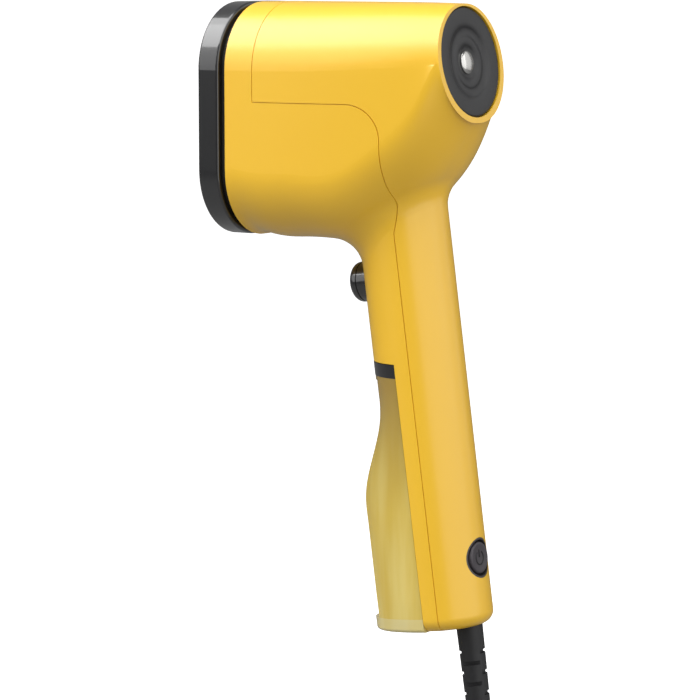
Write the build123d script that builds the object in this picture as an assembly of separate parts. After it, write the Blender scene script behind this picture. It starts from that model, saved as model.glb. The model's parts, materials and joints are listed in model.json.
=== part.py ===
from build123d import *
import math
import os

# Handheld garment steamer, an upright handle under a level steam head.
# Millimetres. +Z is up, +X points to the rear cap, the steam face looks along -X.
# The origin is on the handle's axis at the middle of the grip.
# "Along the handle" places are (u, v, w): u rearward, v across, w up the leaning axis.

# Casing
handle_tilt = 7.8
handle_r = 18.2
handle_bottom = -109.0
handle_top = 84.0
base_round = 5.0
wall = 2.2
seam_u = 5.5
seam_head_x = -55.0
seam_head_z = 101.0
seam_neck_x = 0.5
seam_neck_z = 62.0
seam_grip_w = 50.0
seam_round = 14.0
seam_gap = 0.3
seam_depth = 0.8

# Head
head_front = -67.9
head_low = 46.4
head_high = 140.3
head_width = 75.0
head_corner = 27.0
head_rear_width = 48.8
head_rear_low = 93.4
head_taper = 2.5
head_belly_x = -27.0
head_sweep = 1.8
head_sections = 9
neck_round = 13.0

# Rear cap
cap_x = 23.1
cap_z = 117.4
cap_r = 21.8
cap_tilt = 9.0
cap_thick = 3.4
cap_gap = 0.12
cap_ledge = 2.4
cap_skirt = 2.4
cap_skirt_wall = 1.6
cap_rings = (16.2, 13.5, 10.8)
cap_step = 0.55
insert_r = 4.7
insert_depth = 1.6

# Steam face
bezel_front = -81.2
bezel_back = -71.2
bezel_frame = 6.0
collar_inset = 2.8
collar_wall = 3.0
plate_thick = 4.2
plate_proud = 0.6
plate_gap = 0.2
steam_hole_r = 1.5

# Steam chamber
chamber_width = 54.0
chamber_height = 70.0
chamber_corner = 16.0
chamber_depth = 25.0
chamber_wall = 4.0
steam_room = 9.0
boil_room = 4.0
gasket_thick = 0.6
cover_thick = 3.0
heater_r = 3.3
heater_half = 12.0
heater_low = 78.0
heater_high = 130.0
heater_depth = 13.6
cover_screw_r = 1.5
screw_head_r = 2.8
screw_head_h = 1.8
shield_x = -39.5
shield_thick = 1.0
shield_gap = 1.6

# Pump
pump_z = 116.0
pump_out_x = -36.0
pump_block_x = -31.0
pump_sleeve_x = -15.0
pump_in_x = 3.0
nipple_length = 5.0
nipple_r = 2.6
hose_wall = 1.4
pump_block_r = 7.0
pump_sleeve_r = 5.5
piston_r = 4.0
piston_length = 14.0
piston_gap = 0.06
piston_travel = 3.0
coil_r = 11.5
frame_half = 12.5
frame_thick = 1.5
mount_r = 3.0
mount_height = 5.0

# Trigger
trigger_w = 31.6
trigger_r = 8.15
trigger_gap = 0.25
trigger_proud = 7.0
trigger_travel = 3.0
trigger_flange_r = 9.6
trigger_flange = 1.5
trigger_flange_u = -12.3
trigger_stem_r = 3.0
trigger_stem = 2.4
bracket_u = -5.5
bracket_thick = 1.5
bracket_low_v = -12.0
bracket_high_v = 4.3
bracket_half = 10.0
switch_depth = 10.0
switch_width = 6.4
switch_height = 20.0
plunger_r = 1.5
plunger_gap = 0.06
plunger_depth = 6.5

# Tank
tank_back = -1.0
tank_side = 17.9
tank_top_z = -1.9
collar_height = 5.4
tank_neck_w = -16.5
tank_belly_w = -57.5
tank_belly = 32.6
tank_wall = 1.8
tank_base_height = 5.5
tank_bottom_round = 1.6
cradle_front = -0.7
cradle_thick = 2.0
shelf_gap = 0.3
shelf_thick = 2.0
spout_u = -9.2
spout_r = 3.8
spout_bore = 2.2
spout_low = -11.8
spout_high = 4.7
seal_wire = 0.8
socket_r = 6.5
socket_neck_r = 5.25
socket_height = 7.0
socket_gap = 0.1
stem_r = 1.2
stem_head_r = 1.9
stem_head_w = -0.3
suction_r = 2.1
suction_bore = 1.3
filter_r = 4.0
filter_height = 8.0
filler_u = -21.0
filler_r = 6.0
filler_flange_r = 7.6
filler_flange = 1.6
filler_gap = 0.12

# Power button
button_w = -82.0
button_r = 6.4
button_gap = 0.2
button_face_u = 17.9
button_flange_r = 7.2
button_flange = 1.2
well_r = 8.1
well_wall = 0.8
well_floor_u = 15.0
well_floor = 1.2
power_switch_size = 12.0
power_switch_height = 4.3
power_plunger_r = 2.4

# Electrics in the handle
board_u = 2.4
board_thick = 1.6
board_half = 12.5
board_low = -90.0
board_high = -42.0
post_r = 2.4
case_boss_r = 3.2
case_screw_r = 1.3
case_screw_end = 10.0
case_head_h = 1.0
screw_gap = 0.05
wire_r = 0.9

# Cord
relief_u = 9.3
relief_root_r = 5.35
relief_tip_r = 4.7
relief_length = 48.0
relief_smooth = 8.5
relief_flange_r = 6.3
relief_flange = 2.0
relief_pitch = 4.2
relief_slot = 1.6
relief_turn = 20.0
cord_r = 3.25
hank_x = 40.5
hank_top = -204.0
hank_length = 160.0
hank_width = 60.0
hank_thick = 20.0
tie_width = 12.0
tie_thick = 1.6
plug_width = 26.0
plug_thick = 15.0
plug_body = 32.0
plug_gland = 22.0
plug_gland_r = 5.0
plug_top = -292.0
pin_length = 17.0
pin_width = 6.3
pin_thick = 1.5
pin_pitch = 12.7

far = 400.0
tilt_sin = math.sin(math.radians(handle_tilt))
tilt_cos = math.cos(math.radians(handle_tilt))
handle_plane = Plane((0, 0, 0), x_dir=(tilt_cos, 0, tilt_sin), z_dir=(-tilt_sin, 0, tilt_cos))
cap_sin = math.sin(math.radians(cap_tilt))
cap_cos = math.cos(math.radians(cap_tilt))
cap_plane = Plane((cap_x, 0, cap_z), x_dir=(0, 1, 0), z_dir=(cap_cos, 0, cap_sin))
pieces = {}


def on_handle(shape):
    return handle_plane.location * shape


def handle_point(u, v, w):
    return Vector(u * tilt_cos - w * tilt_sin, v, u * tilt_sin + w * tilt_cos)


def rod(radius, low, high):
    """A cylinder along Z from low to high."""
    return Pos(0, 0, (low + high) / 2) * Cylinder(radius, high - low)


def rod_x(radius, low, high):
    """A cylinder along X from low to high."""
    return Pos((low + high) / 2, 0, 0) * Rot(0, 90, 0) * Cylinder(radius, high - low)


def block(x, y, z):
    """A box between two values on each axis."""
    middle = Pos((x[0] + x[1]) / 2, (y[0] + y[1]) / 2, (z[0] + z[1]) / 2)
    return middle * Box(x[1] - x[0], y[1] - y[0], z[1] - z[0])


def level_slab(low, high):
    """All the room between two heights, level whatever the handle's lean."""
    return block((-far, far), (-far, far), (low, high))


def plate_x(width, height, corner, low, high, middle):
    """A rounded plate across X, centred at the height middle."""
    base = Plane((low, 0, middle), x_dir=(0, 1, 0), z_dir=(1, 0, 0))
    return extrude(base * RectangleRounded(width, height, corner), high - low)


def tube(points, radii, radius):
    path = FilletPolyline(*points, radius=radii)
    return sweep(Plane(path @ 0, z_dir=path % 0) * Circle(radius), path=path)


def coil_spring(radius, wire, length, turns):
    """A compression spring along Z, from 0 to length."""
    rise = length - 2 * wire
    path = Helix(pitch=rise / turns, height=rise, radius=radius)
    return Pos(0, 0, wire) * sweep(Plane(path @ 0, z_dir=path % 0) * Circle(wire), path=path, is_frenet=True)


# casing

def head_row(share):
    """Middle x, width, low, high, corner and lean of one section, from the front (0) to the rear (1)."""
    rear_x = cap_x + 0.4
    x = head_front + (rear_x - head_front) * share
    rear_corner = (head_high - head_rear_low) / 2 - 0.3
    width = head_rear_width + (head_width - head_rear_width) * (1 - share ** head_taper)
    rise = max(x - head_belly_x, 0.0) / (rear_x - head_belly_x)
    low = head_low + (head_rear_low - head_low) * rise ** head_sweep
    corner = head_corner + (rear_corner - head_corner) * share ** head_taper
    return x, width, low, corner, cap_tilt * rise ** 2


def head_solid(inset):
    sections = []
    for number in range(head_sections):
        share = number / (head_sections - 1)
        x, width, low, corner, lean = head_row(share)
        lean_rad = math.radians(lean)
        normal = Vector(math.cos(lean_rad), 0, math.sin(lean_rad))
        middle = (low + head_high) / 2
        centre = Vector(x - (middle - cap_z) * math.tan(lean_rad), 0, middle)
        if number == 0:
            centre = centre + normal * inset
        if number == head_sections - 1:
            centre = centre - normal * inset
        plane = Plane(centre, x_dir=(0, 1, 0), z_dir=normal)
        height = head_high - low
        sections.append(plane * RectangleRounded(width - 2 * inset, height - 2 * inset, corner - inset))
    return loft(sections)


def handle_solid(inset):
    solid = rod(handle_r - inset, handle_bottom + inset, handle_top)
    low_edge = solid.edges().filter_by(GeomType.CIRCLE).sort_by(Axis.Z)[0]
    return on_handle(fillet(low_edge, base_round - inset))


def casing_outside():
    head = head_solid(0)
    handle = handle_solid(0)
    body = head + handle
    joined = new_edges(head, handle, combined=body)
    return fillet(joined, neck_round)


def casing_inside():
    return head_solid(wall) + handle_solid(wall)


def rear_region(back_off):
    """Everything behind and above the seam between the two shells, less a margin along it."""
    low = handle_point(seam_u + back_off, 0, -far / 2)
    grip = handle_point(seam_u + back_off, 0, seam_grip_w)
    points = [
        (seam_head_x + back_off, far),
        (seam_head_x + back_off, seam_head_z + back_off),
        (seam_neck_x + back_off, seam_head_z + back_off),
        (seam_neck_x + back_off, seam_neck_z),
        (grip.X, grip.Z),
        (low.X, low.Z),
        (far, low.Z),
        (far, far),
    ]
    outline = Polyline(*points, close=True)
    side = make_face(Plane.XZ * outline)
    corner = side.vertices().sort_by_distance((seam_neck_x, 0, seam_head_z))[0]
    side = fillet(corner, seam_round)
    return extrude(side, far, both=True)


def case_screw_places():
    return ((0.0, -14.0), (0.0, -32.0), (10.6, -99.5), (-10.6, -99.5))


def build_casing():
    outside = casing_outside()
    inside = casing_inside()
    skin = outside - inside
    rear = rear_region(0)
    core = head_solid(seam_depth) + handle_solid(seam_depth)
    shut_line = (rear - rear_region(seam_gap)) - core
    front_opening = plate_x(chamber_width + 6, chamber_height + 6, chamber_corner + 3,
                            head_front - 5, head_front + 2 * wall, (head_low + head_high) / 2)
    cap_hole = cap_plane.location * rod(cap_r + cap_gap, -cap_thick, 10)
    ledge_ring = rod(cap_r + cap_gap + 0.3, -cap_thick - 2, -cap_thick) - rod(cap_r - cap_ledge, -far, far)
    ledge = (cap_plane.location * ledge_ring) & outside

    trigger_hole = on_handle(Pos(0, 0, trigger_w) * rod_x(trigger_r + trigger_gap, -far, 0))
    button_hole = on_handle(Pos(0, 0, button_w) * rod_x(well_r, 0, far))
    relief_hole = on_handle(Pos(relief_u, 0, 0) * rod(relief_root_r, handle_bottom - 10, handle_bottom + 10))

    shelf_low = tank_top_z + shelf_gap
    shelf_high = shelf_low + shelf_thick
    ahead = on_handle(block((-far, cradle_front), (-far, far), (-far, far)))
    cradle_ahead = on_handle(block((-far, cradle_front + cradle_thick), (-far, far), (-far, far)))
    inner_handle = handle_solid(wall / 2)
    tank_room = ahead & level_slab(-far, shelf_low)
    cradle = ((cradle_ahead - ahead) & level_slab(-far, shelf_high)) & inner_handle
    shelf = (cradle_ahead & level_slab(shelf_low, shelf_high)) & inner_handle
    socket_hole = on_handle(Pos(spout_u, 0, 0) * rod(socket_neck_r + screw_gap, -20, 20))

    front = (skin - rear) - tank_room
    front = front + cradle + shelf
    front = front - socket_hole - trigger_hole - relief_hole - front_opening
    back = ((skin & rear) - shut_line) + ledge
    back = back - cap_hole - button_hole - relief_hole

    for v, w in case_screw_places():
        place = Pos(0, v, w)
        boss = on_handle(place * rod_x(case_boss_r, cradle_front + cradle_thick, handle_r)) & inner_handle
        back = back + (boss & outside)
        back = back - on_handle(place * rod_x(case_screw_r + screw_gap, -5, case_screw_end + 1.0))
        front = front - on_handle(place * rod_x(case_screw_r + screw_gap, -5, 5))
        front = front - on_handle(place * rod_x(case_boss_r + 0.1, cradle_front + cradle_thick, handle_r))
    for v, w in board_post_places():
        post = on_handle(Pos(0, v, w) * rod_x(post_r, cradle_front + cradle_thick, board_u))
        front = front + post
        front = front - on_handle(Pos(0, v, w) * rod_x(case_screw_r - 0.2, cradle_front + 0.8, 6))
    for v, w in bracket_screw_places():
        back_end = bracket_u + bracket_thick
        boss = on_handle(Pos(0, v, w) * rod_x(post_r, back_end, handle_r)) & inner_handle
        back = back + boss
        back = back - on_handle(Pos(0, v, w) * rod_x(case_screw_r + screw_gap, back_end - 1, back_end + 9))
    pieces["front_shell"] = front
    pieces["rear_shell"] = back


def build_case_screws():
    group = []
    for v, w in case_screw_places():
        shank = rod_x(case_screw_r, cradle_front + case_head_h - 0.1, case_screw_end)
        head = rod_x(screw_head_r, cradle_front, cradle_front + case_head_h)
        group.append(on_handle(Pos(0, v, w) * (shank + head)))
        pocket = on_handle(Pos(0, v, w) * rod_x(screw_head_r, cradle_front - 1, cradle_front + case_head_h))
        pieces["front_shell"] = pieces["front_shell"] - pocket
    pieces["case_screws"] = Compound(group)


# head pieces

def build_rear_cap():
    disc = rod(cap_r, -cap_thick, 0)
    disc = fillet(disc.edges().filter_by(GeomType.CIRCLE).sort_by(Axis.Z)[-1], 0.5)
    for number, ring_r in enumerate(cap_rings):
        depth = cap_step * (number + 1)
        disc = disc - rod(ring_r, -depth, 1)
    dish_low = -cap_step * len(cap_rings)
    disc = disc - rod(insert_r, dish_low - insert_depth + 0.4, 1)
    insert = rod(insert_r, dish_low - insert_depth + 0.4, dish_low + 0.5)
    insert = fillet(insert.edges().filter_by(GeomType.CIRCLE).sort_by(Axis.Z)[-1], 0.4)
    skirt_r = cap_r - cap_ledge - 0.15
    skirt = rod(skirt_r, -cap_thick - cap_skirt, -cap_thick) - rod(skirt_r - cap_skirt_wall, -far, far)
    pieces["rear_cap"] = cap_plane.location * (disc + skirt)
    pieces["rear_cap_insert"] = cap_plane.location * insert


def build_steam_face():
    middle = (head_low + head_high) / 2
    height = head_high - head_low
    bezel = plate_x(head_width, height, head_corner, bezel_front, bezel_back, middle)
    rims = bezel.edges().filter_by(Plane.YZ)
    bezel = fillet(rims, 1.2)
    window_width = head_width - 2 * bezel_frame
    window_height = height - 2 * bezel_frame
    window_corner = head_corner - bezel_frame
    bezel = bezel - plate_x(window_width, window_height, window_corner,
                            bezel_front - 1, bezel_front + plate_thick, middle)
    bezel = bezel - plate_x(chamber_width + 2, chamber_height + 2, chamber_corner + 1,
                            bezel_front, bezel_back + 1, middle)
    pieces["head_bezel"] = bezel

    inset = collar_inset
    collar = plate_x(head_width - 2 * inset, height - 2 * inset, head_corner - inset,
                     bezel_back, head_front, middle)
    inset = collar_inset + collar_wall
    collar = collar - plate_x(head_width - 2 * inset, height - 2 * inset, head_corner - inset,
                              bezel_back - 1, head_front + 1, middle)
    pieces["head_collar"] = collar

    plate_front = bezel_front - plate_proud
    plate = plate_x(window_width - 2 * plate_gap, window_height - 2 * plate_gap, window_corner - plate_gap,
                    plate_front, bezel_front + plate_thick, middle)
    plate = fillet(plate.faces().sort_by(Axis.X)[0].edges(), 0.5)
    for y, z in steam_hole_places():
        plate = plate - Pos(0, y, z) * rod_x(steam_hole_r, plate_front - 1, bezel_front + plate_thick + 1)
    pieces["steam_plate"] = plate


def steam_hole_places():
    """Nine holes round an upright oval, and a short column up its middle."""
    middle = (head_low + head_high) / 2
    places = []
    for number in range(10):
        angle = math.radians(90 + 36 * number)
        places.append((15.0 * math.cos(angle), middle + 23.0 * math.sin(angle)))
    for number in range(3):
        places.append((0.0, middle - 9.0 + 9.0 * number))
    return places


def chamber_front():
    return bezel_front + plate_thick


def cover_front():
    return chamber_front() + chamber_depth + gasket_thick


def cover_screw_places():
    middle = (head_low + head_high) / 2
    half_y = chamber_width / 2 - 6.0
    half_z = chamber_height / 2 - 6.0
    return [(sy * half_y, middle + sz * half_z) for sy in (-1, 1) for sz in (-1, 1)]


def heater_path_solid(radius):
    heater_x = chamber_front() + heater_depth
    points = [
        (heater_x, -heater_half, heater_high),
        (heater_x, -heater_half, heater_low - heater_half),
        (heater_x, heater_half, heater_low - heater_half),
        (heater_x, heater_half, heater_high),
    ]
    return tube(points, [heater_half - 0.5, heater_half - 0.5], radius)


def build_chamber():
    middle = (head_low + head_high) / 2
    front = chamber_front()
    back = front + chamber_depth
    body = plate_x(chamber_width, chamber_height, chamber_corner, front, back, middle)
    room_width = chamber_width - 2 * chamber_wall
    room_height = chamber_height - 2 * chamber_wall
    body = body - plate_x(room_width, room_height, chamber_corner - chamber_wall, front - 1,
                          front + steam_room, middle)
    body = body - plate_x(room_width - 14, room_height - 14, chamber_corner - chamber_wall,
                          back - boil_room, back + 1, middle)
    for sy in (-1, 1):
        passage = Pos(0, sy * 6.0, middle + 24.0) * rod_x(1.6, front, back)
        body = body - passage
    body = body - heater_path_solid(heater_r)
    gasket = plate_x(chamber_width, chamber_height, chamber_corner, back, back + gasket_thick, middle)
    gasket = gasket - plate_x(room_width - 12, room_height - 12, chamber_corner - chamber_wall,
                              back - 1, back + 2, middle)
    cover = plate_x(chamber_width, chamber_height, chamber_corner, cover_front(),
                    cover_front() + cover_thick, middle)
    nipple = Pos(0, 0, pump_z) * rod_x(nipple_r, cover_front() + cover_thick - 0.5,
                                       cover_front() + cover_thick + nipple_length)
    cover = cover + nipple
    cover = cover - Pos(0, 0, pump_z) * rod_x(1.2, back - 1, cover_front() + 20)
    screws = []
    cover_back = cover_front() + cover_thick
    for y, z in cover_screw_places():
        hole = Pos(0, y, z) * rod_x(cover_screw_r + screw_gap, back - 7.0, cover_back + 1)
        body = body - hole
        gasket = gasket - hole
        cover = cover - hole
        shank = rod_x(cover_screw_r, back - 6.5, cover_back)
        head = rod_x(screw_head_r, cover_back, cover_back + screw_head_h)
        screws.append(Pos(0, y, z) * (shank + head))
    pieces["steam_chamber"] = body
    pieces["chamber_gasket"] = gasket
    pieces["chamber_cover"] = cover
    pieces["cover_screws"] = Compound(screws)
    pieces["heating_element"] = heater_path_solid(heater_r)


def build_chamber_fittings():
    cover_back = cover_front() + cover_thick
    thermostat = Pos(0, -11.0, 84.0) * (rod_x(7.6, cover_back, cover_back + 4.5)
                                       + rod_x(5.2, cover_back + 4.5, cover_back + 7.5))
    pieces["thermostat"] = thermostat
    fuse = Pos(cover_back + 2.4, 11.0, 84.0) * Cylinder(2.2, 12.0)
    clip = block((cover_back, cover_back + 4.9), (8.2, 13.8), (82.0, 86.0))
    clip = clip - Pos(cover_back + 2.4, 11.0, 84.0) * Cylinder(2.2, 20.0)
    pieces["thermal_fuse"] = fuse
    pieces["fuse_clip"] = clip

    middle = (head_low + head_high) / 2
    shield = plate_x(head_width - 2 * wall - 2 * shield_gap - 3.0, head_high - head_low - 2 * wall - 6.0,
                     head_corner - wall - 4.0, shield_x, shield_x + shield_thick, middle)
    shield = shield - Pos(0, 0, pump_z) * rod_x(nipple_r + hose_wall + 0.8, shield_x - 5, shield_x + 5)
    shield = shield - Pos(0, 0, 62.0) * rod_x(4.0, shield_x - 5, shield_x + 5)
    posts = []
    for y, z in cover_screw_places():
        start = cover_back + screw_head_h
        posts.append(Pos(0, y, z) * rod_x(2.2, start, shield_x))
    pieces["heat_shield"] = shield
    pieces["shield_posts"] = Compound(posts)


def build_pump():
    axis = Pos(0, 0, pump_z)
    body = rod_x(pump_block_r, pump_block_x, pump_sleeve_x)
    body = body + rod_x(pump_sleeve_r, pump_sleeve_x - 0.5, pump_in_x)
    body = body + rod_x(nipple_r, pump_block_x - nipple_length, pump_block_x + 0.5)
    body = body + rod_x(nipple_r, pump_in_x - 0.5, pump_in_x + nipple_length)
    body = body - rod_x(piston_r + piston_gap, pump_block_x + 4.0, pump_in_x - 1.5)
    body = body - rod_x(1.2, pump_out_x - 5, pump_in_x + 10)
    pieces["pump_body"] = axis * body
    piston_x = pump_block_x + 4.0 + piston_travel + 1.0
    piston = rod_x(piston_r, piston_x, piston_x + piston_length) - rod_x(1.0, -far, far)
    pieces["pump_piston"] = axis * piston
    spring_length = pump_in_x - 1.5 - piston_x - piston_length
    spring = Rot(0, 90, 0) * coil_spring(3.0, 0.35, spring_length, 5)
    pieces["pump_spring"] = axis * Pos(piston_x + piston_length, 0, 0) * spring

    coil_low = pump_sleeve_x + frame_thick
    coil_high = pump_in_x - frame_thick - 1.0
    coil = rod_x(coil_r, coil_low, coil_high) - rod_x(pump_sleeve_r + 0.1, -far, far)
    pieces["pump_coil"] = axis * coil
    hole = rod_x(pump_sleeve_r + 0.1, -far, far)
    ends = block((coil_low - frame_thick, coil_low), (-frame_half, frame_half), (-frame_half, frame_half))
    ends = ends + block((coil_high, coil_high + frame_thick), (-frame_half, frame_half),
                        (-frame_half, frame_half))
    ends = ends + block((coil_low - frame_thick, coil_high + frame_thick), (-frame_half, frame_half),
                        (-frame_half, -frame_half + frame_thick * 0.6))
    pieces["pump_frame"] = axis * (ends - hole)
    mounts = []
    for x in (coil_low + 3.0, coil_high - 3.0):
        foot = rod(mount_r, -frame_half - mount_height, -frame_half)
        mounts.append(Pos(x, 0, pump_z) * foot)
    pieces["pump_mounts"] = Compound(mounts)
    tray_top = pump_z - frame_half - mount_height
    tray = block((coil_low - 4, coil_high + 4), (-far, far), (tray_top - 1.6, tray_top))
    tray = tray & head_solid(wall / 2)
    cutout = block((coil_low + 2, coil_high - 2), (8, 16), (tray_top - 5, tray_top + 5))
    pieces["rear_shell"] = pieces["rear_shell"] + ((tray - cutout) & rear_region(0))


def build_hoses():
    cover_back = cover_front() + cover_thick
    sleeve = rod_x(nipple_r + hose_wall, cover_back + 0.3, pump_block_x - 0.3)
    sleeve = sleeve - rod_x(nipple_r, -far, far)
    pieces["outlet_hose"] = Pos(0, 0, pump_z) * sleeve
    hose_r = nipple_r + hose_wall - 0.8
    nipple_top = socket_height + nipple_length
    points = [
        tuple(handle_point(spout_u, 0, nipple_top - 2.0)),
        tuple(handle_point(spout_u, 0, nipple_top + 3.0)),
        tuple(handle_point(-1.2, 10.2, 22.0)),
        tuple(handle_point(-1.2, 11.3, 44.0)),
        (-3.0, 10.5, 68.0),
        (9.5, 6.0, 88.0),
        (15.0, 0.0, 103.0),
        (15.0, 0.0, pump_z),
        (pump_in_x + 1.0, 0.0, pump_z),
    ]
    radii = [4.0, 8.0, 12.0, 12.0, 12.0, 7.0, 5.4]
    hose = tube(points, radii, hose_r)
    hollow = Pos(0, 0, pump_z) * rod_x(nipple_r, pump_in_x - 2, pump_in_x + nipple_length)
    spout = on_handle(Pos(spout_u, 0, 0) * rod(nipple_r, 0, socket_height + nipple_length))
    pieces["inlet_hose"] = hose - hollow - spout


# trigger

def bracket_screw_places():
    return ((-8.5, trigger_w + 7.5), (-8.5, trigger_w - 7.5))


def build_trigger():
    axis = Pos(0, 0, trigger_w)
    face = -handle_r - trigger_proud
    flange_back = trigger_flange_u + trigger_flange
    cap = rod_x(trigger_r, face, trigger_flange_u)
    front_edge = cap.edges().filter_by(GeomType.CIRCLE).sort_by(Axis.X)[0]
    cap = fillet(front_edge, 2.6)
    cap = cap + rod_x(trigger_flange_r, trigger_flange_u, flange_back)
    cap = cap + rod_x(trigger_stem_r, flange_back - 0.2, flange_back + trigger_stem)
    pieces["steam_trigger"] = on_handle(axis * cap)

    spring_room = bracket_u - flange_back
    spring = Rot(0, 90, 0) * coil_spring(5.6, 0.4, spring_room, 3)
    pieces["trigger_spring"] = on_handle(axis * Pos(flange_back, 0, 0) * spring)

    back = bracket_u + bracket_thick
    plate = block((bracket_u, back), (bracket_low_v, bracket_high_v), (-bracket_half, bracket_half))
    plate = plate - rod_x(trigger_stem_r + 0.6, -far, far)
    body = block((back, back + switch_depth), (-switch_width / 2, switch_width / 2),
                 (-switch_height / 2, switch_height / 2))
    stem_end = flange_back + trigger_stem
    plunger = rod_x(plunger_r, stem_end, back + plunger_depth - trigger_travel - 0.5)
    body = body - rod_x(plunger_r + plunger_gap, back - 1, back + plunger_depth)
    for v, w in bracket_screw_places():
        plate = plate - Pos(0, v, w - trigger_w) * rod_x(case_screw_r + screw_gap, -far, far)
    pieces["switch_bracket"] = on_handle(axis * plate)
    pieces["trigger_switch"] = on_handle(axis * body)
    pieces["trigger_plunger"] = on_handle(axis * plunger)
    screws = []
    for v, w in bracket_screw_places():
        screw = rod_x(case_screw_r, bracket_u, back + 8.0) + rod_x(2.2, bracket_u - 1.4, bracket_u)
        screws.append(on_handle(Pos(0, v, w) * screw))
    pieces["bracket_screws"] = Compound(screws)


# tank

def tank_front(w):
    """Depth of the tank's nose: a slim neck easing into the belly."""
    share = (tank_neck_w - w) / (tank_neck_w - tank_belly_w)
    share = min(max(share, 0.0), 1.0)
    ease = share * share * (3 - 2 * share)
    return handle_r + (tank_belly - handle_r) * ease


def tank_section(w, inset):
    depth = tank_front(w) + tank_back
    nose = EllipticalCenterArc((tank_back - inset, 0), depth, tank_side - inset,
                               start_angle=90, arc_size=180)
    back = Line(nose @ 1, nose @ 0)
    return Pos(0, 0, w) * make_face([nose, back])


def tank_solid(low, high, inset):
    count = 14
    levels = [high + (low - high) * number / (count - 1) for number in range(count)]
    return loft([tank_section(w, inset) for w in levels])


def build_tank():
    collar_low = tank_top_z - collar_height
    base_top = handle_bottom + tank_base_height
    at_spout = Pos(spout_u, 0, 0)
    outside = on_handle(tank_solid(base_top, 0, 0)) & level_slab(-far, collar_low)
    inside = on_handle(tank_solid(base_top - 0.01, 0, tank_wall)) & level_slab(-far, collar_low - tank_wall)
    pieces["water_tank"] = outside - inside - on_handle(at_spout * rod(spout_r + 0.6, -20, 0))

    neck = extrude(tank_section(tank_neck_w, 0), -2 * tank_neck_w)
    collar = on_handle(neck) & level_slab(collar_low, tank_top_z)
    groove_w = spout_high - 2.6
    ring = at_spout * Pos(0, 0, groove_w) * Torus(spout_r + 0.2, seal_wire)
    spout = at_spout * rod(spout_r, spout_low, spout_high)
    bore = at_spout * rod(spout_bore, spout_low - 1, spout_high + 1)
    pieces["tank_collar"] = (collar + on_handle(spout)) - on_handle(bore) - on_handle(ring)
    pieces["tank_seal"] = on_handle(ring)

    shelf_high = tank_top_z + shelf_gap + shelf_thick
    flange = on_handle(at_spout * rod(socket_r, -5, socket_height)) & level_slab(shelf_high, far)
    neck = on_handle(at_spout * rod(socket_neck_r, -5, socket_height - 1))
    socket = flange + (neck & level_slab(shelf_high - shelf_thick, far))
    socket = socket + on_handle(at_spout * rod(nipple_r, socket_height - 0.1, socket_height + nipple_length))
    socket_bore = spout_r + 0.2 + seal_wire + socket_gap
    socket = socket - on_handle(at_spout * rod(socket_bore, -5, socket_height - 2.0))
    pieces["tank_socket"] = socket - on_handle(at_spout * rod(1.4, 0, socket_height + 20))

    head_low_w = stem_head_w
    stem = rod(stem_r, spout_low + 1.0, spout_high - 1.2) + rod(stem_head_r, head_low_w, head_low_w + 1.0)
    pieces["valve_stem"] = on_handle(at_spout * stem)
    spring_low = spout_low + 2.0
    spring = coil_spring(1.65, 0.22, head_low_w - spring_low, 5)
    pieces["valve_spring"] = on_handle(at_spout * Pos(0, 0, spring_low) * spring)

    suction_low = base_top + filter_height + 1.0
    suction = rod(suction_r, suction_low - 2.0, spout_low) - rod(suction_bore, -far, far)
    pieces["suction_tube"] = on_handle(at_spout * suction)
    strainer = rod(filter_r, suction_low - filter_height, suction_low)
    strainer = strainer - rod(suction_r + 0.05, suction_low - 2.0, suction_low + 1)
    strainer = fillet(strainer.edges().filter_by(GeomType.CIRCLE).sort_by(Axis.Z)[0], 0.8)
    pieces["suction_filter"] = on_handle(at_spout * strainer)

    base = extrude(tank_section(handle_bottom, 0), tank_base_height)
    lower = base.faces().sort_by(Axis.Z)[0].edges().filter_by(GeomType.ELLIPSE)
    base = fillet(lower, tank_bottom_round)
    at_filler = Pos(filler_u, 0, 0)
    plug_hole = at_filler * rod(filler_r + filler_gap, -200, 0)
    plug_recess = at_filler * rod(filler_flange_r + filler_gap, -200, handle_bottom + filler_flange)
    pieces["tank_base"] = on_handle(base - plug_hole - plug_recess)
    stopper = rod(filler_r, handle_bottom + filler_flange, handle_bottom + tank_base_height + 2.0)
    stopper = stopper + rod(filler_flange_r, handle_bottom, handle_bottom + filler_flange)
    grip = Rot(90, 0, 0) * Cylinder(2.2, 1.6)
    pieces["filler_stopper"] = on_handle(at_filler * (stopper - Pos(0, 0, handle_bottom) * grip))


# power button and electrics

def build_power_button():
    axis = Pos(0, 0, button_w)
    cup = rod_x(well_r - 0.05, well_floor_u - well_floor, handle_r + 2)
    cup = cup - rod_x(well_r - well_wall, well_floor_u, handle_r + 5)
    cup = cup - rod_x(button_r + button_gap, -far, far)
    trim = Pos(0, 0, -button_w) * rod(handle_r - 0.1, -far, far)
    pieces["button_well"] = on_handle(axis * (cup & trim))
    flange_high = well_floor_u - well_floor
    flange_low = flange_high - button_flange
    button = rod_x(button_r, flange_high - 0.1, button_face_u)
    button = fillet(button.edges().filter_by(GeomType.CIRCLE).sort_by(Axis.X)[-1], 0.7)
    button = button + rod_x(button_flange_r, flange_low, flange_high)
    pieces["power_button"] = on_handle(axis * button)
    switch_low = board_u + board_thick
    switch_high = switch_low + power_switch_height
    half = power_switch_size / 2
    body = block((switch_low, switch_high), (-half, half), (-half, half))
    body = body - rod_x(power_plunger_r + plunger_gap, switch_high - 2.4, switch_high + 1)
    plunger = rod_x(power_plunger_r, switch_high - 1.0, flange_low)
    pieces["power_switch"] = on_handle(axis * body)
    pieces["power_plunger"] = on_handle(axis * plunger)
    spring = Rot(0, 90, 0) * coil_spring(4.2, 0.3, flange_low - switch_high, 3)
    pieces["button_spring"] = on_handle(axis * Pos(switch_high, 0, 0) * spring)


def board_post_places():
    half = board_half - 3.0
    return [(sv * half, w) for sv in (-1, 1) for w in (board_low + 3.0, board_high - 3.0)]


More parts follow.
